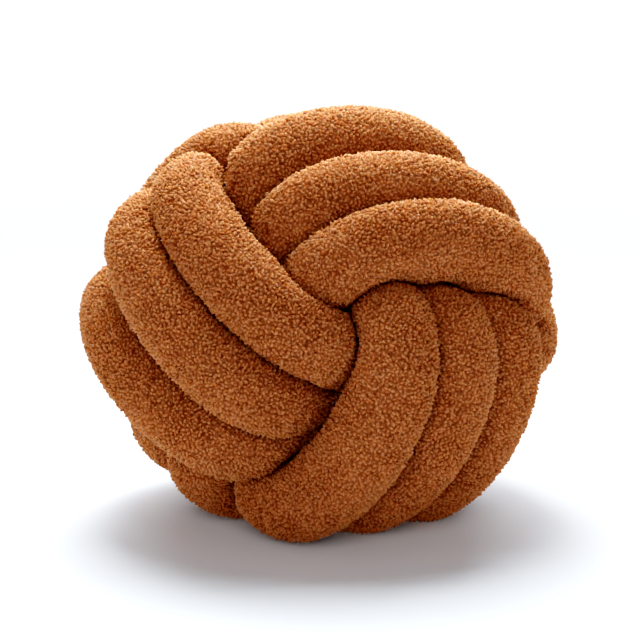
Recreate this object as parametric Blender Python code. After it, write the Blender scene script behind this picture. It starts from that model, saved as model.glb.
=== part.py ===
"""A knot cushion: one long stuffed tube wound into a ball.

The tube makes three bands at right angles to each other.  A band is three turns side by side.  It passes
over one of the other bands and dives under the third, so the three hold each other.  The tube is one
piece from end to end: inside each band it steps from turn to turn where it is hidden, it crosses the
ball's core from band to band, and both of its ends are tucked in below the surface.
"""
import math
from collections import namedtuple

import bpy
import numpy as np
from mathutils import Euler

MM = 0.001

# The tube and its turns
TUBE_RADIUS = 28.0 * MM       # of the stuffed tube where nothing presses on it
TURN_PITCH = 47.7 * MM        # between the centre lines of neighbouring turns
TURN_RADIUS = 119.6 * MM      # of a turn's centre line, from the middle of the ball
DIVE_DEPTH = 75.0 * MM        # how far a turn reaches along its band before it dives
DIVE_SHARPNESS = 6.0          # how sudden the bend into the dive is
SINK = 12.0 * MM              # how much nearer the core a turn lies once it is hidden
PINCH = 0.33                  # share by which hidden turns crowd together
HIDDEN_FROM = 0.74            # sine of the angle where a turn starts to sink
HIDDEN_FULL = 0.95            # sine of the angle where it has sunk all the way

# The steps from turn to turn, the crossings of the core and the ends
STEP_HALF_ANGLE = 35.0        # degrees of a turn on each side of the middle of a step
CROSSING_ANGLE = 27.0         # degrees from that middle where the tube leaves or joins a band
CROSSING_HANDLE = 60.0 * MM   # how far a crossing keeps its first and last direction
TUCK_HANDLE = 13.0 * MM       # of the bend that takes each end of the tube into the core

# How the ball lies: turned, settled under its weight, and pressed flat where it touches the ground
BALL_TURN = (-33.4, -11.4, -139.8)  # degrees about X, then Y, then Z
SETTLED = (1.03, 1.03, 0.94)        # growth of the turns' layout along X, Y and Z
MIDDLE_HEIGHT = 122.5 * MM          # of the ball's middle over the ground

# The mesh
TRAVEL_STEP = 1.0             # degrees between the points of a turn as it is laid out
CURVE_POINTS = 32             # of a crossing or a tuck as it is laid out
FACE_BLEND = 0.5              # cosine of the angle where one face's departures give way to the other's
FINE_STEP = 3.0 * MM          # between the points of the centre line that bound the swelling
RING_STEP = 14.4 * MM         # between the rings of the tube's wall
RING_SIDES = 14
CREASE_GAP = 1.3 * MM         # that the wall stays short of the middle between two turns
SWELL_POWER = 8.0             # how sharply the wall turns from round to pressed flat
CAP_ANGLES = (25.0, 50.0, 75.0)     # degrees round the tube's domed ends that carry a ring
OPEN_SPACE = 1.0              # metres, a swelling that nothing bounds

# A band's outward, lengthwise and sideways axes (0 is X, 1 is Y, 2 is Z), the sense in which its turns run,
# the side of its length where they step from lane to lane, and the lane of its last turn
Band = namedtuple("Band", "out along across turning step_side last_lane")
BANDS = (
    Band(out=0, along=1, across=2, turning=1, step_side=-1, last_lane=-1),
    Band(out=1, along=2, across=0, turning=1, step_side=1, last_lane=-1),
    Band(out=2, along=0, across=1, turning=-1, step_side=1, last_lane=-1),
)

# How each outer arc departs from an even layout, in millimetres: its sideways place, its slant and bow,
# its height over the turn radius, and how much higher its far end is than its middle.  Side 1 and -1 are
# the band's two faces, and lanes 1, 0 and -1 its three turns.
Arc = namedtuple("Arc", "band side lane place slant bow height tilt")
ARCS = (
    Arc(0, 1, 1, -0.7, -0.3, -3.4, 1.7, -5.3),
    Arc(0, 1, 0, 8.0, -9.8, -4.1, 4.7, -5.3),
    Arc(0, 1, -1, 2.2, 3.8, 4.0, 3.4, -0.8),
    Arc(0, -1, 1, -0.6, 1.6, 0.2, 0.8, 0.6),
    Arc(0, -1, 0, 1.5, 2.0, 0.0, 1.0, 0.0),
    Arc(0, -1, -1, -1.0, -2.0, 1.0, 0.5, 1.0),
    Arc(1, 1, 1, -6.2, -0.8, 0.5, 6.5, -5.6),
    Arc(1, 1, 0, -5.5, 6.8, 1.0, -1.4, 3.0),
    Arc(1, 1, -1, -4.5, 8.7, 1.4, 1.8, -3.5),
    Arc(1, -1, 1, 9.0, 0.4, 2.5, 1.5, 1.0),
    Arc(1, -1, 0, 5.5, -1.0, 1.0, 1.0, 1.0),
    Arc(1, -1, -1, 3.0, 1.0, -1.0, 2.0, -1.0),
    Arc(2, 1, 1, -4.1, -6.8, 5.7, 0.3, -5.1),
    Arc(2, 1, 0, 3.7, -6.5, -1.0, -3.3, -0.1),
    Arc(2, 1, -1, 0.3, 1.8, 2.4, 3.0, 3.5),
    Arc(2, -1, 1, -6.5, 2.6, 4.1, -6.5, 6.0),
    Arc(2, -1, 0, -1.2, -4.5, 4.8, -3.2, -3.6),
    Arc(2, -1, -1, -3.0, 1.5, -1.0, 1.0, 0.5),
)

# The fabric
BOUCLE_COLOUR = (0.43, 0.125, 0.027, 1.0)
BOUCLE_ROUGHNESS = 0.95


def smooth_step(share):
    """A soft rise from 0 to 1."""
    share = np.clip(share, 0.0, 1.0)
    return share * share * (3.0 - 2.0 * share)


def unit(vector):
    """The vector scaled to a length of one."""
    return vector / np.linalg.norm(vector)


def arc_table():
    """The arcs' departures in metres, indexed by band, side and lane."""
    table = np.zeros((3, 2, 3, 5))
    for arc in ARCS:
        table[arc.band, (arc.side + 1) // 2, arc.lane + 1] = np.array(arc[3:]) * MM
    return table


def departures(table, band, lane, face):
    """The five departures along a band, blended between its two faces and between its lanes."""
    front = smooth_step((face / FACE_BLEND + 1.0) / 2.0)[:, None]
    place = np.clip(lane + 1.0, 0.0, 2.0)
    lower = np.minimum(place.astype(int), 1)
    upper_share = (place - lower)[:, None]
    blended = 0.0
    for side, weight in ((0, 1.0 - front), (1, front)):
        row = table[band, side, lower] * (1.0 - upper_share) + table[band, side, lower + 1] * upper_share
        blended = blended + weight * row
    return blended.T


def band_line(table, number, first_angle, last_angle):
    """The centre line of one band's turns, between two angles in degrees from where they would first step."""
    band = BANDS[number]
    travel = np.arange(first_angle, last_angle, TRAVEL_STEP)
    steps = sum(smooth_step((travel - full) / (2.0 * STEP_HALF_ANGLE) + 0.5) for full in (360.0, 720.0))
    lane = band.last_lane * (steps - 1.0)
    angle = np.radians(90.0 * band.step_side + band.turning * travel)
    face = np.cos(angle)
    reach = np.sin(angle)
    place, slant, bow, height, tilt = departures(table, number, lane, face)
    sideways = lane * TURN_PITCH + place + slant * reach + bow * reach ** 2
    radius = np.sqrt((TURN_RADIUS + height + tilt * reach) ** 2 - sideways ** 2)
    hidden = smooth_step((np.abs(reach) - HIDDEN_FROM) / (HIDDEN_FULL - HIDDEN_FROM))
    along = radius * reach
    along = along / (1.0 + np.abs(along / DIVE_DEPTH) ** DIVE_SHARPNESS) ** (1.0 / DIVE_SHARPNESS)
    points = np.zeros((len(travel), 3))
    points[:, band.out] = radius * face
    points[:, band.along] = along * (1.0 - SINK / DIVE_DEPTH * hidden)
    points[:, band.across] = sideways * (1.0 - PINCH * hidden)
    return points


def outwards(band):
    """From the core towards the side of a band where its tube steps from turn to turn."""
    direction = np.zeros(3)
    direction[band.along] = band.step_side
    return direction


def crossing(before, after, band_before, band_after):
    """The way through the core from the end of one band to the start of the next."""
    leave = unit(unit(before[-1] - before[-2]) - outwards(band_before))
    arrive = unit(unit(after[1] - after[0]) + outwards(band_after))
    start, end = before[-1], after[0]
    corners = (start, start + leave * CROSSING_HANDLE, end - arrive * CROSSING_HANDLE, end)
    share = np.linspace(0.0, 1.0, CURVE_POINTS)[1:-1, None]
    weights = ((1 - share) ** 3, 3 * (1 - share) ** 2 * share, 3 * (1 - share) * share ** 2, share ** 3)
    return sum(weight * corner for weight, corner in zip(weights, corners))


def tuck(last, before_last, band):
    """The short bend from a band's end into the core, where the tube ends."""
    onward = unit(last - before_last)
    elbow = last + onward * TUCK_HANDLE
    tip = elbow - outwards(band) * TUCK_HANDLE
    share = np.linspace(0.0, 1.0, CURVE_POINTS)[1:, None]
    return (1 - share) ** 2 * last + 2 * (1 - share) * share * elbow + share ** 2 * tip


def centre_line():
    """The whole tube's centre line about the ball's middle, as the ball lies, at even fine steps."""
    table = arc_table()
    last_angle = 3 * 360.0 - CROSSING_ANGLE
    first, second, third = (
        band_line(table, number, CROSSING_ANGLE, last_angle) for number in range(len(BANDS))
    )
    line = np.concatenate((
        tuck(first[0], first[1], BANDS[0])[::-1],
        first,
        crossing(first, second, BANDS[0], BANDS[1]),
        second,
        crossing(second, third, BANDS[1], BANDS[2]),
        third,
        tuck(third[-1], third[-2], BANDS[2]),
    ))
    lie = np.array(Euler([math.radians(angle) for angle in BALL_TURN]).to_matrix())
    line = line @ lie.T * np.array(SETTLED)
    return evenly(line, FINE_STEP)


def evenly(line, step):
    """The same line with its points about one step apart."""
    lengths = np.concatenate(([0.0], np.cumsum(np.linalg.norm(np.diff(line, axis=0), axis=1))))
    places = np.linspace(0.0, lengths[-1], int(round(lengths[-1] / step)) + 1)
    return np.stack([np.interp(places, lengths, line[:, axis]) for axis in range(3)], axis=1)


def ring_places(length):
    """Distances along the tube that carry a ring, and how much of the full radius each has."""
    middle = np.linspace(TUBE_RADIUS, length - TUBE_RADIUS, int((length - 2 * TUBE_RADIUS) / RING_STEP) + 1)
    cap = np.radians(CAP_ANGLES)
    depth = TUBE_RADIUS * (1.0 - np.cos(cap))
    places = np.concatenate((depth, middle, length - depth[::-1]))
    shares = np.concatenate((np.sin(cap), np.ones(len(middle)), np.sin(cap[::-1])))
    return places, shares


def ring_frames(centres):
    """Two unit vectors square to the centre line at each ring, carried along without twisting."""
    tangents = np.gradient(centres, axis=0)
    tangents /= np.linalg.norm(tangents, axis=1)[:, None]
    side = unit(np.cross(tangents[0], (0.0, 0.0, 1.0)))
    sides = []
    for tangent in tangents:
        side = unit(side - tangent * np.dot(side, tangent))
        sides.append(side)
    sides = np.array(sides)
    return sides, np.cross(tangents, sides)


def swelling(centre, directions, line):
    """How far the stuffing pushes the wall out along each direction from a ring's centre.

    The tube is round until it meets another stretch of itself: there both are pressed flat, midway
    between their centre lines.
    """
    offsets = line - centre
    squares = np.einsum("ij,ij->i", offsets, offsets)
    apart = squares > (1.5 * FINE_STEP) ** 2
    ahead = directions @ offsets[apart].T
    midway = squares[apart] / np.maximum(2.0 * ahead, squares[apart] / OPEN_SPACE)
    pressed = midway.min(axis=1) - CREASE_GAP
    return (TUBE_RADIUS ** -SWELL_POWER + pressed ** -SWELL_POWER) ** (-1.0 / SWELL_POWER)


def tube_mesh():
    """Points and faces of the closed tube, standing on the ground over the origin."""
    line = centre_line()
    length = np.linalg.norm(np.diff(line, axis=0), axis=1).sum()
    travelled = np.linspace(0.0, length, len(line))
    places, shares = ring_places(length)
    centres = np.stack([np.interp(places, travelled, line[:, axis]) for axis in range(3)], axis=1)
    sides, ups = ring_frames(centres)
    angles = np.linspace(0.0, 2.0 * math.pi, RING_SIDES, endpoint=False)
    points = []
    for centre, side, up, share in zip(centres, sides, ups, shares):
        directions = np.outer(np.cos(angles), side) + np.outer(np.sin(angles), up)
        points.append(centre + directions * (swelling(centre, directions, line) * share)[:, None])
    points = np.concatenate(points + [line[:1], line[-1:]])
    points[:, 2] = np.maximum(points[:, 2] + MIDDLE_HEIGHT, 0.0)
    points[:, :2] -= (points[:, :2].min(axis=0) + points[:, :2].max(axis=0)) / 2.0
    return points, tube_faces(len(centres))


def tube_faces(rings):
    """Quads between the rings and a fan over each domed end."""
    faces = []
    start = rings * RING_SIDES
    end = start + 1
    last = (rings - 1) * RING_SIDES
    for index in range(RING_SIDES):
        after = (index + 1) % RING_SIDES
        faces.append((start, after, index))
        faces.append((end, last + index, last + after))
        for ring in range(rings - 1):
            low = ring * RING_SIDES
            high = low + RING_SIDES
            faces.append((low + index, low + after, high + after, high + index))
    return faces


def boucle():
    """The curly pile fabric of the tube."""
    material = bpy.data.materials.new("boucle")
    material.use_nodes = True
    shader = material.node_tree.nodes["Principled BSDF"]
    shader.inputs["Base Color"].default_value = BOUCLE_COLOUR
    shader.inputs["Roughness"].default_value = BOUCLE_ROUGHNESS
    shader.inputs["Metallic"].default_value = 0.0
    material.diffuse_color = BOUCLE_COLOUR
    return material


def knotted_tube():
    """The one piece of the cushion."""
    points, faces = tube_mesh()
    mesh = bpy.data.meshes.new("knotted_tube")
    mesh.from_pydata(points.tolist(), [], faces)
    mesh.validate()
    mesh.shade_smooth()
    mesh.materials.append(boucle())
    tube = bpy.data.objects.new("knotted_tube", mesh)
    bpy.context.scene.collection.objects.link(tube)


def main():
    for old in list(bpy.data.objects):
        bpy.data.objects.remove(old, do_unlink=True)
    knotted_tube()


main()
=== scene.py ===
"""The looks of the knot cushion: its stuffed tube in curly boucle pile, on a pale studio floor."""
import math
from collections import namedtuple

import bpy
import numpy as np
from mathutils import Euler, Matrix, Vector
from mathutils.bvhtree import BVHTree


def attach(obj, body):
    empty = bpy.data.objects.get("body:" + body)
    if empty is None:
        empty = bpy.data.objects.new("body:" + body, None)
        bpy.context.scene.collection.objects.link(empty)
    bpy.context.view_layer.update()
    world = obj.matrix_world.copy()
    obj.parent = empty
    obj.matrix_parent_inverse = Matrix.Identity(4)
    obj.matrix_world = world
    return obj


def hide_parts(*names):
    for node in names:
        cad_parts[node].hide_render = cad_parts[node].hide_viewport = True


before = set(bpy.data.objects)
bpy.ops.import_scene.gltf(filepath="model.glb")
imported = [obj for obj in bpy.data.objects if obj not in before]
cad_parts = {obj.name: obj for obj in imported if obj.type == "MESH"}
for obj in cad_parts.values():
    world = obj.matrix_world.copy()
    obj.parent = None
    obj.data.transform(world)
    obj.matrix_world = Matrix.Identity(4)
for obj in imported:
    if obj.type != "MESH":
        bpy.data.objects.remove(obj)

MM = 0.001

# The tube and its turns, as in the part's source
TUBE_RADIUS = 28.0 * MM
TURN_PITCH = 47.7 * MM
TURN_RADIUS = 119.6 * MM
DIVE_DEPTH = 75.0 * MM
DIVE_SHARPNESS = 6.0
SINK = 12.0 * MM
PINCH = 0.33
HIDDEN_FROM = 0.74
HIDDEN_FULL = 0.95
STEP_HALF_ANGLE = 35.0
CROSSING_ANGLE = 27.0
CROSSING_HANDLE = 60.0 * MM
TUCK_HANDLE = 13.0 * MM
BALL_TURN = (-33.4, -11.4, -139.8)
SETTLED = (1.03, 1.03, 0.94)
MIDDLE_HEIGHT = 122.5 * MM
TRAVEL_STEP = 1.0
CURVE_POINTS = 32
FACE_BLEND = 0.5
FINE_STEP = 3.0 * MM
SWELL_POWER = 8.0
CAP_ANGLES = (25.0, 50.0, 75.0)
OPEN_SPACE = 1.0
OWN_STRETCH = 1.5 * FINE_STEP  # the centre line nearer to a ring than this doesn't press on it

# A band's outward, lengthwise and sideways axes (0 is X, 1 is Y, 2 is Z), the sense in which its turns run,
# the side of its length where they step from lane to lane, and the lane of its last turn
Band = namedtuple("Band", "out along across turning step_side last_lane")
BANDS = (
    Band(out=0, along=1, across=2, turning=1, step_side=-1, last_lane=-1),
    Band(out=1, along=2, across=0, turning=1, step_side=1, last_lane=-1),
    Band(out=2, along=0, across=1, turning=-1, step_side=1, last_lane=-1),
)

# How each outer arc departs from an even layout, in millimetres, as in the part's source.  Side 1 and -1 are
# the band's two faces, and lanes 1, 0 and -1 its three turns.
Arc = namedtuple("Arc", "band side lane place slant bow height tilt")
ARCS = (
    Arc(0, 1, 1, -0.7, -0.3, -3.4, 1.7, -5.3),
    Arc(0, 1, 0, 8.0, -9.8, -4.1, 4.7, -5.3),
    Arc(0, 1, -1, 2.2, 3.8, 4.0, 3.4, -0.8),
    Arc(0, -1, 1, -0.6, 1.6, 0.2, 0.8, 0.6),
    Arc(0, -1, 0, 1.5, 2.0, 0.0, 1.0, 0.0),
    Arc(0, -1, -1, -1.0, -2.0, 1.0, 0.5, 1.0),
    Arc(1, 1, 1, -6.2, -0.8, 0.5, 6.5, -5.6),
    Arc(1, 1, 0, -5.5, 6.8, 1.0, -1.4, 3.0),
    Arc(1, 1, -1, -4.5, 8.7, 1.4, 1.8, -3.5),
    Arc(1, -1, 1, 9.0, 0.4, 2.5, 1.5, 1.0),
    Arc(1, -1, 0, 5.5, -1.0, 1.0, 1.0, 1.0),
    Arc(1, -1, -1, 3.0, 1.0, -1.0, 2.0, -1.0),
    Arc(2, 1, 1, -4.1, -6.8, 5.7, 0.3, -5.1),
    Arc(2, 1, 0, 3.7, -6.5, -1.0, -3.3, -0.1),
    Arc(2, 1, -1, 0.3, 1.8, 2.4, 3.0, 3.5),
    Arc(2, -1, 1, -6.5, 2.6, 4.1, -6.5, 6.0),
    Arc(2, -1, 0, -1.2, -4.5, 4.8, -3.2, -3.6),
    Arc(2, -1, -1, -3.0, 1.5, -1.0, 1.0, 0.5),
)

# The cloth that carries the pile
CLOTH_DEPTH = 1.3 * MM        # of the cloth below the outside of the pile
CLOTH_GAP = 0.4 * MM          # that the outside of the pile stays short of the middle between two turns
CLOTH_RING_STEP = 6.5 * MM
CLOTH_RING_SIDES = 30
CLOTH_FLOOR = 0.8 * MM        # of the cloth over the ground, where the ball rests on its pile

# The pile's curls
CURL_SEED = 7
CURL_SPACING = 1.98 * MM      # least distance between two curls
CURL_TRIES = 6.0              # places tried for each curl that would fit side by side
CURL_LENGTH = (2.5 * MM, 4.6 * MM)
CURL_WIDTH = (1.9 * MM, 3.6 * MM)
CURL_HEIGHT = (0.8 * MM, 2.25 * MM)
CURL_TURN = (0.8, 2.4)        # radians that a curl bends through on each side of its middle
CURL_LEAN = 0.35              # how far curls lean from square to the cloth
CURL_UNEVEN = 0.25            # share by which a curl's width and height vary from point to point
CURL_SOFTNESS = 0.3           # how far its shading turns from its own shape to the tube's
CURL_PIECES = 5               # objects that share the curls
SIGHT_RAYS = 24               # from each face of the cloth, to find how well it can be seen
LEAST_SEEN = 2                # of those rays that must leave the ball where curls grow
SIGHT_REACH = 0.5             # metres, further than any part of the ball
TINY = 1e-12                  # keeps a division away from zero

# A curl's points: its place along the curl, how far to the side of it and how high, as shares of its half
# length, half width and height.  The curl is a bent ridge whose two ends sink into the cloth.
CURL_POINTS = (
    (-1.0, 0.0, -0.3),
    (-0.5, 0.9, -0.3),
    (-0.5, 0.0, 0.85),
    (-0.5, -0.9, -0.3),
    (0.0, 1.0, -0.3),
    (0.0, 0.0, 1.0),
    (0.0, -1.0, -0.3),
    (0.5, 0.9, -0.3),
    (0.5, 0.0, 0.85),
    (0.5, -0.9, -0.3),
    (1.0, 0.0, -0.3),
)
CURL_FACES = (
    (0, 2, 1), (0, 3, 2), (1, 2, 5), (1, 5, 4), (2, 3, 6), (2, 6, 5),
    (4, 5, 8), (4, 8, 7), (5, 6, 9), (5, 9, 8), (7, 8, 10), (8, 9, 10),
)

# The finish: a colour share of 0 is the pile's root colour, painted shade, and 1 its tip colour, painted
# light
PILE_ROOT_SHADE = (0.12, 0.035, 0.011, 1.0)
PILE_MIDDLE = (0.283, 0.096, 0.040, 1.0)
PILE_TIP_LIGHT = (0.47, 0.197, 0.091, 1.0)
MIDDLE_SHARE = 0.35           # colour share of the middle colour
CURL_SHARES = (0.0, 0.68)     # colour shares at a curl's foot and at its top: painted shade low on the curl, painted light at its top
CURL_TINT = 0.12              # how far a curl's own tint moves its colour share either way
PILE_GLOSS = 0.0
PILE_ROUGHNESS = 0.6
GLOW = 1.0                    # share of the light that spreads inside the pile
GLOW_REACH = (1.0, 0.5, 0.25)  # of red, green and blue, in GLOW_DEPTH
GLOW_DEPTH = 2.0 * MM

# Noise patterns of the finish: lumps to the metre, how many times finer lumps are added, and the colour
# shares that the low and high ends of NOISE_RANGE give
Mottle = namedtuple("Mottle", "lumps detail low high")
PATCHES = Mottle(22.0, 2.0, -0.07, 0.07)
FIBRES = Mottle(1100.0, 3.0, -0.16, 0.16)
# the cloth's low shares paint the shade in the gaps between the curls
CLOTH_SHARES = Mottle(400.0, 2.0, 0.0, 0.35)
NOISE_RANGE = (0.3, 0.7)      # nearly all of a noise pattern's values
BUMP_LUMPS = 1600.0
BUMP_DETAIL = 2.0
BUMP_STRENGTH = 0.6
BUMP_HEIGHT = 0.25 * MM

WHITE = (1.0, 1.0, 1.0, 1.0)

# The studio's far lights: degrees round the ball from the camera's side, degrees above the ground, strength,
# the breadth in degrees that the light seems to have, and its colour
Softbox = namedtuple("Softbox", "name around above strength breadth colour")
SOFTBOXES = (
    Softbox("rim", 180.0, 45.0, 0.85, 50.0, (0.95, 1.0, 1.05)),
    Softbox("front", 355.0, 16.0, 0.57, 45.0, (1.03, 0.99, 0.95)),
)

# The softbox close over the ball: where it hangs, its width, its strength on the ball and its colour
OVERHEAD_PLACE = (-0.04, 0.16, 0.69)
OVERHEAD_WIDTH = 0.45
OVERHEAD_STRENGTH = 2.82
OVERHEAD_COLOUR = (0.93, 1.02, 1.08)

# The studio's walls
SKY_COLOUR = (0.96, 0.99, 1.05, 1.0)
SKY_LOW = 1.35                # brightness at the horizon
SKY_HIGH = 0.17               # and high above it
SKY_FADE = 0.05               # sine of the angle over the horizon where the fade ends

# The floor, with a painted glow that rises away from the ball, so that the far floor shows white
FLOOR_HALF = 15.0             # metres, half the floor's width
FLOOR_COLOUR = (0.91, 0.93, 0.97, 1.0)
FLOOR_ROUGHNESS = 0.9
FLOOR_GLOSS = 0.1
FLOOR_GLOW = 0.5
FLOOR_GLOW_FROM = 0.45        # metres from the ball's foot where the glow begins
FLOOR_GLOW_FULL = 1.6         # and where it has its full strength

# The film's response, which deepens dark and saturated colours and softens bright ones
FILM_WHITE = 1.26             # brightness from which everything shows white
FILM_MIDDLE = 0.254           # brightness where the contrast is FILM_SLOPE
FILM_SLOPE = 1.0
FILM_ROLL_OFF = 0.4           # how fast the contrast falls towards white
FILM_POINTS = 14              # of the curve that carries the response
FILM_SPREAD = 3.0             # power that crowds those points towards black
BRIGHTNESS_CURVE = 3          # of the curve mapping, after red, green and blue

# The camera at the photograph's place
IMAGE_SIZE = 640
CAMERA_DISTANCE = 1.8
CAMERA_ELEVATION = 11.58
PIXELS_PER_METRE = 1567.9     # at the ball's middle
MIDDLE_PIXEL = (322.07, 323.86)
SENSOR_WIDTH = 36.0           # millimetres, as Blender has it


def smooth_step(share):
    """A soft rise from 0 to 1."""
    share = np.clip(share, 0.0, 1.0)
    return share * share * (3.0 - 2.0 * share)


def unit(vector):
    """The vector scaled to a length of one."""
    return vector / np.linalg.norm(vector)


def units(vectors):
    """Each row scaled to a length of one."""
    return vectors / np.linalg.norm(vectors, axis=1)[:, None]


def arc_table():
    """The arcs' departures in metres, indexed by band, side and lane."""
    table = np.zeros((3, 2, 3, 5))
    for arc in ARCS:
        table[arc.band, (arc.side + 1) // 2, arc.lane + 1] = np.array(arc[3:]) * MM
    return table


def departures(table, band, lane, face):
    """The five departures along a band, blended between its two faces and between its lanes."""
    front = smooth_step((face / FACE_BLEND + 1.0) / 2.0)[:, None]
    place = np.clip(lane + 1.0, 0.0, 2.0)
    lower = np.minimum(place.astype(int), 1)
    upper_share = (place - lower)[:, None]
    blended = 0.0
    for side, weight in ((0, 1.0 - front), (1, front)):
        row = table[band, side, lower] * (1.0 - upper_share) + table[band, side, lower + 1] * upper_share
        blended = blended + weight * row
    return blended.T


def band_line(table, number, first_angle, last_angle):
    """The centre line of one band's turns, between two angles in degrees from where they would first step."""
    band = BANDS[number]
    travel = np.arange(first_angle, last_angle, TRAVEL_STEP)
    steps = sum(smooth_step((travel - full) / (2.0 * STEP_HALF_ANGLE) + 0.5) for full in (360.0, 720.0))
    lane = band.last_lane * (steps - 1.0)
    angle = np.radians(90.0 * band.step_side + band.turning * travel)
    face = np.cos(angle)
    reach = np.sin(angle)
    place, slant, bow, height, tilt = departures(table, number, lane, face)
    sideways = lane * TURN_PITCH + place + slant * reach + bow * reach ** 2
    radius = np.sqrt((TURN_RADIUS + height + tilt * reach) ** 2 - sideways ** 2)
    hidden = smooth_step((np.abs(reach) - HIDDEN_FROM) / (HIDDEN_FULL - HIDDEN_FROM))
    along = radius * reach
    along = along / (1.0 + np.abs(along / DIVE_DEPTH) ** DIVE_SHARPNESS) ** (1.0 / DIVE_SHARPNESS)
    points = np.zeros((len(travel), 3))
    points[:, band.out] = radius * face
    points[:, band.along] = along * (1.0 - SINK / DIVE_DEPTH * hidden)
    points[:, band.across] = sideways * (1.0 - PINCH * hidden)
    return points


def outwards(band):
    """From the core towards the side of a band where its tube steps from turn to turn."""
    direction = np.zeros(3)
    direction[band.along] = band.step_side
    return direction


def crossing(before, after, band_before, band_after):
    """The way through the core from the end of one band to the start of the next."""
    leave = unit(unit(before[-1] - before[-2]) - outwards(band_before))
    arrive = unit(unit(after[1] - after[0]) + outwards(band_after))
    start, end = before[-1], after[0]
    corners = (start, start + leave * CROSSING_HANDLE, end - arrive * CROSSING_HANDLE, end)
    share = np.linspace(0.0, 1.0, CURVE_POINTS)[1:-1, None]
    weights = ((1 - share) ** 3, 3 * (1 - share) ** 2 * share, 3 * (1 - share) * share ** 2, share ** 3)
    return sum(weight * corner for weight, corner in zip(weights, corners))


def tuck(last, before_last, band):
    """The short bend from a band's end into the core, where the tube ends."""
    onward = unit(last - before_last)
    elbow = last + onward * TUCK_HANDLE
    tip = elbow - outwards(band) * TUCK_HANDLE
    share = np.linspace(0.0, 1.0, CURVE_POINTS)[1:, None]
    return (1 - share) ** 2 * last + 2 * (1 - share) * share * elbow + share ** 2 * tip


def centre_line():
    """The whole tube's centre line about the ball's middle, as the ball lies, at even fine steps."""
    table = arc_table()
    last_angle = 3 * 360.0 - CROSSING_ANGLE
    first, second, third = (
        band_line(table, number, CROSSING_ANGLE, last_angle) for number in range(len(BANDS))
    )
    line = np.concatenate((
        tuck(first[0], first[1], BANDS[0])[::-1],
        first,
        crossing(first, second, BANDS[0], BANDS[1]),
        second,
        crossing(second, third, BANDS[1], BANDS[2]),
        third,
        tuck(third[-1], third[-2], BANDS[2]),
    ))
    lie = np.array(Euler([math.radians(angle) for angle in BALL_TURN]).to_matrix())
    line = line @ lie.T * np.array(SETTLED)
    return evenly(line, FINE_STEP)


def evenly(line, step):
    """The same line with its points about one step apart."""
    lengths = np.concatenate(([0.0], np.cumsum(np.linalg.norm(np.diff(line, axis=0), axis=1))))
    places = np.linspace(0.0, lengths[-1], int(round(lengths[-1] / step)) + 1)
    return np.stack([np.interp(places, lengths, line[:, axis]) for axis in range(3)], axis=1)


def ring_places(length):
    """Distances along the tube that carry a ring, and how much of the full radius each has."""
    rings = int((length - 2 * TUBE_RADIUS) / CLOTH_RING_STEP) + 1
    middle = np.linspace(TUBE_RADIUS, length - TUBE_RADIUS, rings)
    cap = np.radians(CAP_ANGLES)
    depth = TUBE_RADIUS * (1.0 - np.cos(cap))
    places = np.concatenate((depth, middle, length - depth[::-1]))
    shares = np.concatenate((np.sin(cap), np.ones(len(middle)), np.sin(cap[::-1])))
    return places, shares


def ring_frames(centres):
    """Two unit vectors square to the centre line at each ring, carried along without twisting."""
    tangents = units(np.gradient(centres, axis=0))
    side = unit(np.cross(tangents[0], (0.0, 0.0, 1.0)))
    sides = []
    for tangent in tangents:
        side = unit(side - tangent * np.dot(side, tangent))
        sides.append(side)
    sides = np.array(sides)
    return sides, np.cross(tangents, sides)


def swelling(centre, directions, line):
    """How far the pile's outside stands from a ring's centre along each direction."""
    offsets = line - centre
    squares = np.einsum("ij,ij->i", offsets, offsets)
    apart = squares > OWN_STRETCH ** 2
    ahead = directions @ offsets[apart].T
    midway = squares[apart] / np.maximum(2.0 * ahead, squares[apart] / OPEN_SPACE)
    pressed = midway.min(axis=1) - CLOTH_GAP
    return (TUBE_RADIUS ** -SWELL_POWER + pressed ** -SWELL_POWER) ** (-1.0 / SWELL_POWER)


def cloth_points(line):
    """The points of the tube's cloth, ring by ring and then its two ends, about the ball's middle."""
    length = np.linalg.norm(np.diff(line, axis=0), axis=1).sum()
    travelled = np.linspace(0.0, length, len(line))
    places, shares = ring_places(length)
    centres = np.stack([np.interp(places, travelled, line[:, axis]) for axis in range(3)], axis=1)
    sides, ups = ring_frames(centres)
    angles = np.linspace(0.0, 2.0 * math.pi, CLOTH_RING_SIDES, endpoint=False)
    points = []
    for centre, side, up, share in zip(centres, sides, ups, shares):
        directions = np.outer(np.cos(angles), side) + np.outer(np.sin(angles), up)
        reach = swelling(centre, directions, line) * share - CLOTH_DEPTH
        points.append(centre + directions * reach[:, None])
    return np.concatenate(points + [line[:1], line[-1:]])


def cloth_faces(rings):
    """Quads between the rings and a fan over each domed end."""
    ring = np.arange(rings - 1)[:, None] * CLOTH_RING_SIDES
    index = np.arange(CLOTH_RING_SIDES)[None, :]
    after = (index + 1) % CLOTH_RING_SIDES
    quads = np.stack((ring + index, ring + after, ring + CLOTH_RING_SIDES + after,
                      ring + CLOTH_RING_SIDES + index), axis=-1).reshape(-1, 4)
    start = rings * CLOTH_RING_SIDES
    last = start - CLOTH_RING_SIDES
    sides = list(zip(index[0].tolist(), after[0].tolist()))
    caps = [(start, turn, place) for place, turn in sides]
    caps += [(start + 1, last + place, last + turn) for place, turn in sides]
    return quads, caps


def corner_normals(points, quads):
    """An outward unit vector at each point, from the quads round it."""
    across = np.cross(points[quads[:, 2]] - points[quads[:, 0]], points[quads[:, 3]] - points[quads[:, 1]])
    normals = np.zeros_like(points)
    for corner in range(4):
        np.add.at(normals, quads[:, corner], across)
    return normals / np.maximum(np.linalg.norm(normals, axis=1), TINY)[:, None]


def sight_directions():
    """Unit vectors spread evenly over the half of a sphere round +Z."""
    number = np.arange(SIGHT_RAYS) + 0.5
    height = number / SIGHT_RAYS
    round_angle = number * math.pi * (3.0 - math.sqrt(5.0))
    flat = np.sqrt(1.0 - height ** 2)
    return np.stack((flat * np.cos(round_angle), flat * np.sin(round_angle), height), axis=1)


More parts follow.
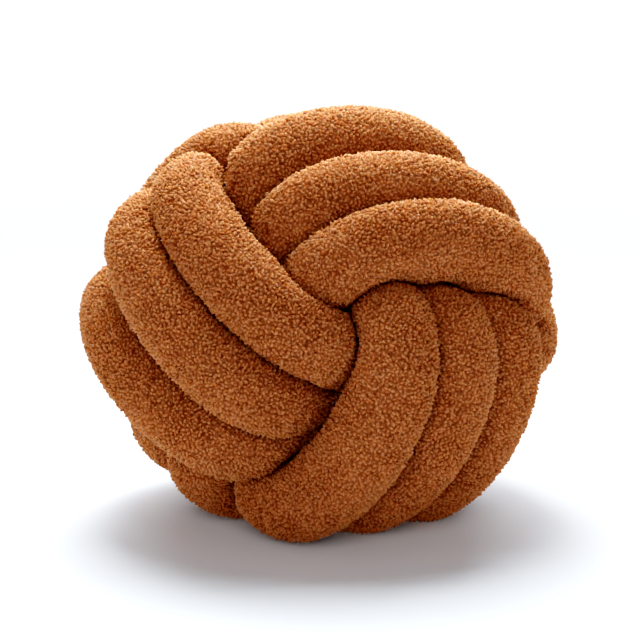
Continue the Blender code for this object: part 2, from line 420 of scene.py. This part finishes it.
def open_faces(points, quads, normals):
    """Which quads can be seen well from outside the ball."""
    tree = BVHTree.FromPolygons(points.tolist(), quads.tolist())
    middles = points[quads].mean(axis=1)
    outward = units(normals[quads].sum(axis=1))
    starts = middles + outward * CLOTH_DEPTH
    rays = [Vector(ray) for ray in sight_directions()]
    seen = np.zeros(len(quads), dtype=bool)
    for number, (start, normal) in enumerate(zip(starts.tolist(), outward.tolist())):
        turn = Vector(normal).to_track_quat("Z", "Y")
        start = Vector(start)
        leaving = sum(tree.ray_cast(start, turn @ ray, SIGHT_REACH)[0] is None for ray in rays)
        seen[number] = leaving >= LEAST_SEEN
    return seen


def spaced(points, spacing):
    """Indices of the points that keep their distance from every point taken before them."""
    cells = {}
    kept = []
    nearby = [(i, j, k) for i in (-1, 0, 1) for j in (-1, 0, 1) for k in (-1, 0, 1)]
    least = spacing * spacing
    keys = np.floor(points / spacing).astype(int).tolist()
    for index, ((i, j, k), (x, y, z)) in enumerate(zip(keys, points.tolist())):
        crowded = any(
            (x - other[0]) ** 2 + (y - other[1]) ** 2 + (z - other[2]) ** 2 < least
            for di, dj, dk in nearby
            for other in cells.get((i + di, j + dj, k + dk), ())
        )
        if not crowded:
            cells.setdefault((i, j, k), []).append((x, y, z))
            kept.append(index)
    return np.array(kept)


def curl_places(points, quads, normals, random):
    """Points spread over the quads at an even distance, and the outward direction at each."""
    corners = points[quads]
    across = np.cross(corners[:, 2] - corners[:, 0], corners[:, 3] - corners[:, 1])
    areas = np.linalg.norm(across, axis=1) / 2.0
    tries = int(areas.sum() / CURL_SPACING ** 2 * CURL_TRIES)
    chosen = random.choice(len(quads), tries, p=areas / areas.sum())
    first, second = random.random((2, tries, 1))
    shares = np.stack(((1 - first) * (1 - second), first * (1 - second), first * second,
                       (1 - first) * second), axis=1)
    spots = (corners[chosen] * shares).sum(axis=1)
    outward = units((normals[quads[chosen]] * shares).sum(axis=1))
    kept = spaced(spots, CURL_SPACING)
    return spots[kept], outward[kept]


def curls(spots, outward, random):
    """Points, triangles, height shares and tints of the curls at these spots."""
    count = len(spots)
    shape = np.array(CURL_POINTS)
    lean = units(outward + random.normal(0.0, CURL_LEAN / 2.0, (count, 3)))
    along = units(np.cross(lean, random.normal(0.0, 1.0, (count, 3))))
    across = np.cross(lean, along)
    length, width, height, half_turn = (
        random.uniform(low, high, (count, 1))
        for low, high in (CURL_LENGTH, CURL_WIDTH, CURL_HEIGHT, CURL_TURN)
    )
    uneven = 1.0 + random.uniform(-CURL_UNEVEN, CURL_UNEVEN, (count, len(shape)))
    bend = half_turn * shape[:, 0]
    radius = length / (2.0 * half_turn)
    aside = shape[:, 1] * uneven * width / 2.0
    u = radius * np.sin(bend) - aside * np.sin(bend)
    v = radius * (np.cos(half_turn / 2.0) - np.cos(bend)) + aside * np.cos(bend)
    w = shape[:, 2] * height * (2.0 - uneven)
    points = (spots[:, None] + u[..., None] * along[:, None] + v[..., None] * across[:, None]
              + w[..., None] * lean[:, None]).reshape(-1, 3)
    faces = (np.array(CURL_FACES)[None] + np.arange(count)[:, None, None] * len(shape)).reshape(-1, 3)
    share = np.broadcast_to(np.clip(shape[:, 2], 0.0, 1.0), (count, len(shape)))
    tint = np.broadcast_to(random.random((count, 1)), (count, len(shape)))
    return points, faces, share.ravel(), tint.ravel()


def soft_normals(points, faces, outward):
    """Shading directions part way between the curls' own shapes and the tube that they grow on."""
    own = np.zeros_like(points)
    square = np.cross(points[faces[:, 1]] - points[faces[:, 0]], points[faces[:, 2]] - points[faces[:, 0]])
    for corner in range(3):
        np.add.at(own, faces[:, corner], square)
    tube = np.repeat(outward, len(CURL_POINTS), axis=0)
    return units(units(own) * (1.0 - CURL_SOFTNESS) + tube * CURL_SOFTNESS)


def add_values(mesh, name, values):
    """Keeps one number for each point of the mesh under that name."""
    kept = mesh.attributes.new(name, "FLOAT", "POINT")
    kept.data.foreach_set("value", np.asarray(values, dtype=np.float32))


def new_object(name, points, faces, material):
    """A smooth mesh object in the scene."""
    mesh = bpy.data.meshes.new(name)
    mesh.from_pydata(points, [], faces)
    mesh.shade_smooth()
    mesh.materials.append(material)
    made = bpy.data.objects.new(name, mesh)
    bpy.context.scene.collection.objects.link(made)
    return made


class Nodes:
    """A material's node tree, with short ways to add and link nodes."""

    def __init__(self, name):
        self.material = bpy.data.materials.new(name)
        self.material.use_nodes = True
        self.tree = self.material.node_tree
        self.shader = self.tree.nodes["Principled BSDF"]

    def add(self, kind, **settings):
        node = self.tree.nodes.new(kind)
        for name, value in settings.items():
            setattr(node, name, value)
        return node

    def link(self, output, target):
        self.tree.links.new(output, target)

    def noise(self, place, lumps, detail):
        """A noise pattern's height at a place, at so many lumps to the metre."""
        node = self.add("ShaderNodeTexNoise")
        node.inputs["Scale"].default_value = lumps
        node.inputs["Detail"].default_value = detail
        self.link(place, node.inputs["Vector"])
        return node.outputs["Fac"]

    def mottle(self, place, pattern):
        """A noise pattern's colour share at a place."""
        height = self.noise(place, pattern.lumps, pattern.detail)
        return self.rescaled(height, *NOISE_RANGE, pattern.low, pattern.high)

    def attribute(self, name):
        """The number that the mesh keeps under that name."""
        return self.add("ShaderNodeAttribute", attribute_name=name).outputs["Fac"]

    def rescaled(self, value, low, high, new_low, new_high):
        """The value moved from one range to another."""
        node = self.add("ShaderNodeMapRange")
        self.link(value, node.inputs["Value"])
        for name, number in zip(("From Min", "From Max", "To Min", "To Max"), (low, high, new_low, new_high)):
            node.inputs[name].default_value = number
        return node.outputs["Result"]

    def total(self, first, second):
        """Two values added."""
        node = self.add("ShaderNodeMath", operation="ADD")
        self.link(first, node.inputs[0])
        self.link(second, node.inputs[1])
        return node.outputs["Value"]

    def ramp(self, value, *stops):
        """A colour for each value, between stops of (place, colour)."""
        node = self.add("ShaderNodeValToRGB")
        self.link(value, node.inputs["Fac"])
        elements = node.color_ramp.elements
        for place, _ in stops[1:-1]:
            elements.new(place)
        for element, (place, colour) in zip(elements, stops):
            element.position = place
            element.color = colour
        return node.outputs["Color"]


def boucle(name, share_of):
    """Curly pile: dark at its roots and paler at its tips, which is painted shade and painted light, and a
    little uneven all over.
    """
    nodes = Nodes(name)
    place = nodes.add("ShaderNodeTexCoord").outputs["Object"]
    patches = nodes.mottle(place, PATCHES)
    fibres = nodes.mottle(place, FIBRES)
    share = nodes.total(nodes.total(share_of(nodes), patches), fibres)
    # painted shade at the curls' roots and painted light at their tips
    colour = nodes.ramp(share, (0.0, PILE_ROOT_SHADE), (MIDDLE_SHARE, PILE_MIDDLE), (1.0, PILE_TIP_LIGHT))
    nodes.link(colour, nodes.shader.inputs["Base Color"])
    nodes.shader.inputs["Roughness"].default_value = PILE_ROUGHNESS
    nodes.shader.inputs["Specular IOR Level"].default_value = PILE_GLOSS
    nodes.shader.inputs["Subsurface Weight"].default_value = GLOW
    nodes.shader.inputs["Subsurface Radius"].default_value = GLOW_REACH
    nodes.shader.inputs["Subsurface Scale"].default_value = GLOW_DEPTH
    bump = nodes.add("ShaderNodeBump")
    bump.inputs["Strength"].default_value = BUMP_STRENGTH
    bump.inputs["Distance"].default_value = BUMP_HEIGHT
    nodes.link(nodes.noise(place, BUMP_LUMPS, BUMP_DETAIL), bump.inputs["Height"])
    nodes.link(bump.outputs["Normal"], nodes.shader.inputs["Normal"])
    return nodes.material


def curl_share(nodes):
    """A curl's colour share: its height, which paints shade low on the curl and light at its top, and a tint
    of its own.
    """
    tint = nodes.rescaled(nodes.attribute("tint"), 0.0, 1.0, -CURL_TINT, CURL_TINT)
    return nodes.total(nodes.rescaled(nodes.attribute("height"), 0.0, 1.0, *CURL_SHARES), tint)


def cloth_share(nodes):
    """The cloth's colour share, low all over: painted shade, since it shows only between the curls."""
    return nodes.mottle(nodes.add("ShaderNodeTexCoord").outputs["Object"], CLOTH_SHARES)


def dress(cloth, quads, caps):
    """The cloth and its curls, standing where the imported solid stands."""
    random = np.random.default_rng(CURL_SEED)
    normals = corner_normals(cloth, quads)
    fabric = boucle("boucle_cloth", cloth_share)
    tube = new_object("pile_cloth", cloth.tolist(), quads.tolist() + caps, fabric)
    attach(tube, "root")
    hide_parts("knotted_tube")
    seen = open_faces(cloth, quads, normals)
    spots, outward = curl_places(cloth, quads[seen], normals, random)
    order = np.argsort(spots[:, 2])
    pile = boucle("boucle_pile", curl_share)
    for number, group in enumerate(np.array_split(order, CURL_PIECES)):
        points, faces, height, tint = curls(spots[group], outward[group], random)
        points[:, 2] = np.maximum(points[:, 2], 0.0)
        piece = new_object(f"pile_curls_{number + 1}", points.tolist(), faces.tolist(), pile)
        shading = soft_normals(points, faces, outward[group])
        piece.data.normals_split_custom_set_from_vertices(shading.tolist())
        add_values(piece.data, "height", height)
        add_values(piece.data, "tint", tint)
        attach(piece, "root")


def studio(middle):
    """The floor, the lights and the camera."""
    nodes = Nodes("pale_floor")
    nodes.shader.inputs["Base Color"].default_value = FLOOR_COLOUR
    nodes.shader.inputs["Roughness"].default_value = FLOOR_ROUGHNESS
    nodes.shader.inputs["Specular IOR Level"].default_value = FLOOR_GLOSS
    nodes.shader.inputs["Emission Color"].default_value = WHITE
    far = nodes.add("ShaderNodeVectorMath", operation="LENGTH")
    nodes.link(nodes.add("ShaderNodeTexCoord").outputs["Object"], far.inputs[0])
    # painted glow: the floor gives off light, more the further it lies from the ball's foot
    glow = nodes.rescaled(far.outputs["Value"], FLOOR_GLOW_FROM, FLOOR_GLOW_FULL, 0.0, FLOOR_GLOW)
    nodes.link(glow, nodes.shader.inputs["Emission Strength"])
    corners = [(x * FLOOR_HALF, y * FLOOR_HALF, 0.0) for x, y in ((-1, -1), (1, -1), (1, 1), (-1, 1))]
    floor = new_object("floor", corners, [(0, 1, 2, 3)], nodes.material)
    sky()
    for softbox in SOFTBOXES:
        far_light(softbox)
    overhead_light(middle)
    film()
    camera(middle)


def film_response(seen):
    """The brightness that the film shows for one that it sees, up to FILM_WHITE, which it shows as 1."""
    fall = (seen / FILM_MIDDLE) ** -FILM_ROLL_OFF - (FILM_WHITE / FILM_MIDDLE) ** -FILM_ROLL_OFF
    return math.exp(-fall * FILM_SLOPE / FILM_ROLL_OFF)


def film():
    """Gives the picture the film's response."""
    settings = bpy.context.scene.view_settings
    settings.view_transform = "Standard"
    settings.use_curve_mapping = True
    mapping = settings.curve_mapping
    mapping.white_level = (FILM_WHITE, FILM_WHITE, FILM_WHITE)
    mapping.extend = "HORIZONTAL"
    curve = mapping.curves[BRIGHTNESS_CURVE]
    for number in range(1, FILM_POINTS):
        place = (number / FILM_POINTS) ** FILM_SPREAD
        curve.points.new(place, film_response(place * FILM_WHITE))
    for point in curve.points:
        point.handle_type = "AUTO_CLAMPED"
    curve.points[-1].location = (1.0, 1.0)
    mapping.update()


def sky():
    """Studio walls that are white at the horizon and darken upwards."""
    world = bpy.data.worlds.new("studio")
    world.use_nodes = True
    tree = world.node_tree
    direction = tree.nodes.new("ShaderNodeTexCoord").outputs["Generated"]
    parts = tree.nodes.new("ShaderNodeSeparateXYZ")
    fade = tree.nodes.new("ShaderNodeMapRange")
    fade.inputs["From Max"].default_value = SKY_FADE
    fade.inputs["To Min"].default_value = SKY_LOW
    fade.inputs["To Max"].default_value = SKY_HIGH
    tree.links.new(direction, parts.inputs["Vector"])
    tree.links.new(parts.outputs["Z"], fade.inputs["Value"])
    tree.links.new(fade.outputs["Result"], tree.nodes["Background"].inputs["Strength"])
    tree.nodes["Background"].inputs["Color"].default_value = SKY_COLOUR
    bpy.context.scene.world = world


def add_lamp(light, place, back):
    """A light at a place, facing away from the direction back."""
    lamp = bpy.data.objects.new(light.name, light)
    lamp.location = place
    lamp.rotation_euler = Vector(back).to_track_quat("Z", "Y").to_euler()
    bpy.context.scene.collection.objects.link(lamp)


def far_light(softbox):
    """A broad even light from one direction, as a sun lamp."""
    light = bpy.data.lights.new(softbox.name, "SUN")
    light.energy = softbox.strength * math.pi
    light.color = softbox.colour
    light.angle = math.radians(softbox.breadth)
    around, above = math.radians(softbox.around), math.radians(softbox.above)
    back = (math.sin(around) * math.cos(above), -math.cos(around) * math.cos(above), math.sin(above))
    add_lamp(light, back, back)


def overhead_light(middle):
    """A softbox close over the ball, which lights the tops of its turns far more than their lower sides."""
    back = Vector(OVERHEAD_PLACE) - Vector(middle)
    light = bpy.data.lights.new("overhead", "AREA")
    light.size = OVERHEAD_WIDTH
    light.energy = OVERHEAD_STRENGTH * math.pi ** 2 * back.length_squared
    light.color = OVERHEAD_COLOUR
    add_lamp(light, OVERHEAD_PLACE, back)


def camera(middle):
    """The camera that sees the ball's middle where the photograph has it."""
    data = bpy.data.cameras.new("camera")
    data.sensor_width = SENSOR_WIDTH
    data.lens = PIXELS_PER_METRE * CAMERA_DISTANCE / IMAGE_SIZE * SENSOR_WIDTH
    data.shift_x = (IMAGE_SIZE / 2 - MIDDLE_PIXEL[0]) / IMAGE_SIZE
    data.shift_y = (MIDDLE_PIXEL[1] - IMAGE_SIZE / 2) / IMAGE_SIZE
    elevation = math.radians(CAMERA_ELEVATION)
    back = Vector((0.0, -math.cos(elevation), math.sin(elevation)))
    viewer = bpy.data.objects.new("camera", data)
    viewer.location = Vector(middle) + back * CAMERA_DISTANCE
    viewer.rotation_euler = (-back).to_track_quat("-Z", "Y").to_euler()
    bpy.context.scene.collection.objects.link(viewer)
    bpy.context.scene.camera = viewer


def main():
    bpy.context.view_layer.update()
    line = centre_line()
    cloth = cloth_points(line)
    rings = (len(cloth) - 2) // CLOTH_RING_SIDES
    shift = np.append(-(cloth[:, :2].min(axis=0) + cloth[:, :2].max(axis=0)) / 2.0, MIDDLE_HEIGHT)
    cloth = cloth + shift
    cloth[:, 2] = np.maximum(cloth[:, 2], CLOTH_FLOOR)
    dress(cloth, *cloth_faces(rings))
    studio(shift.tolist())


main()
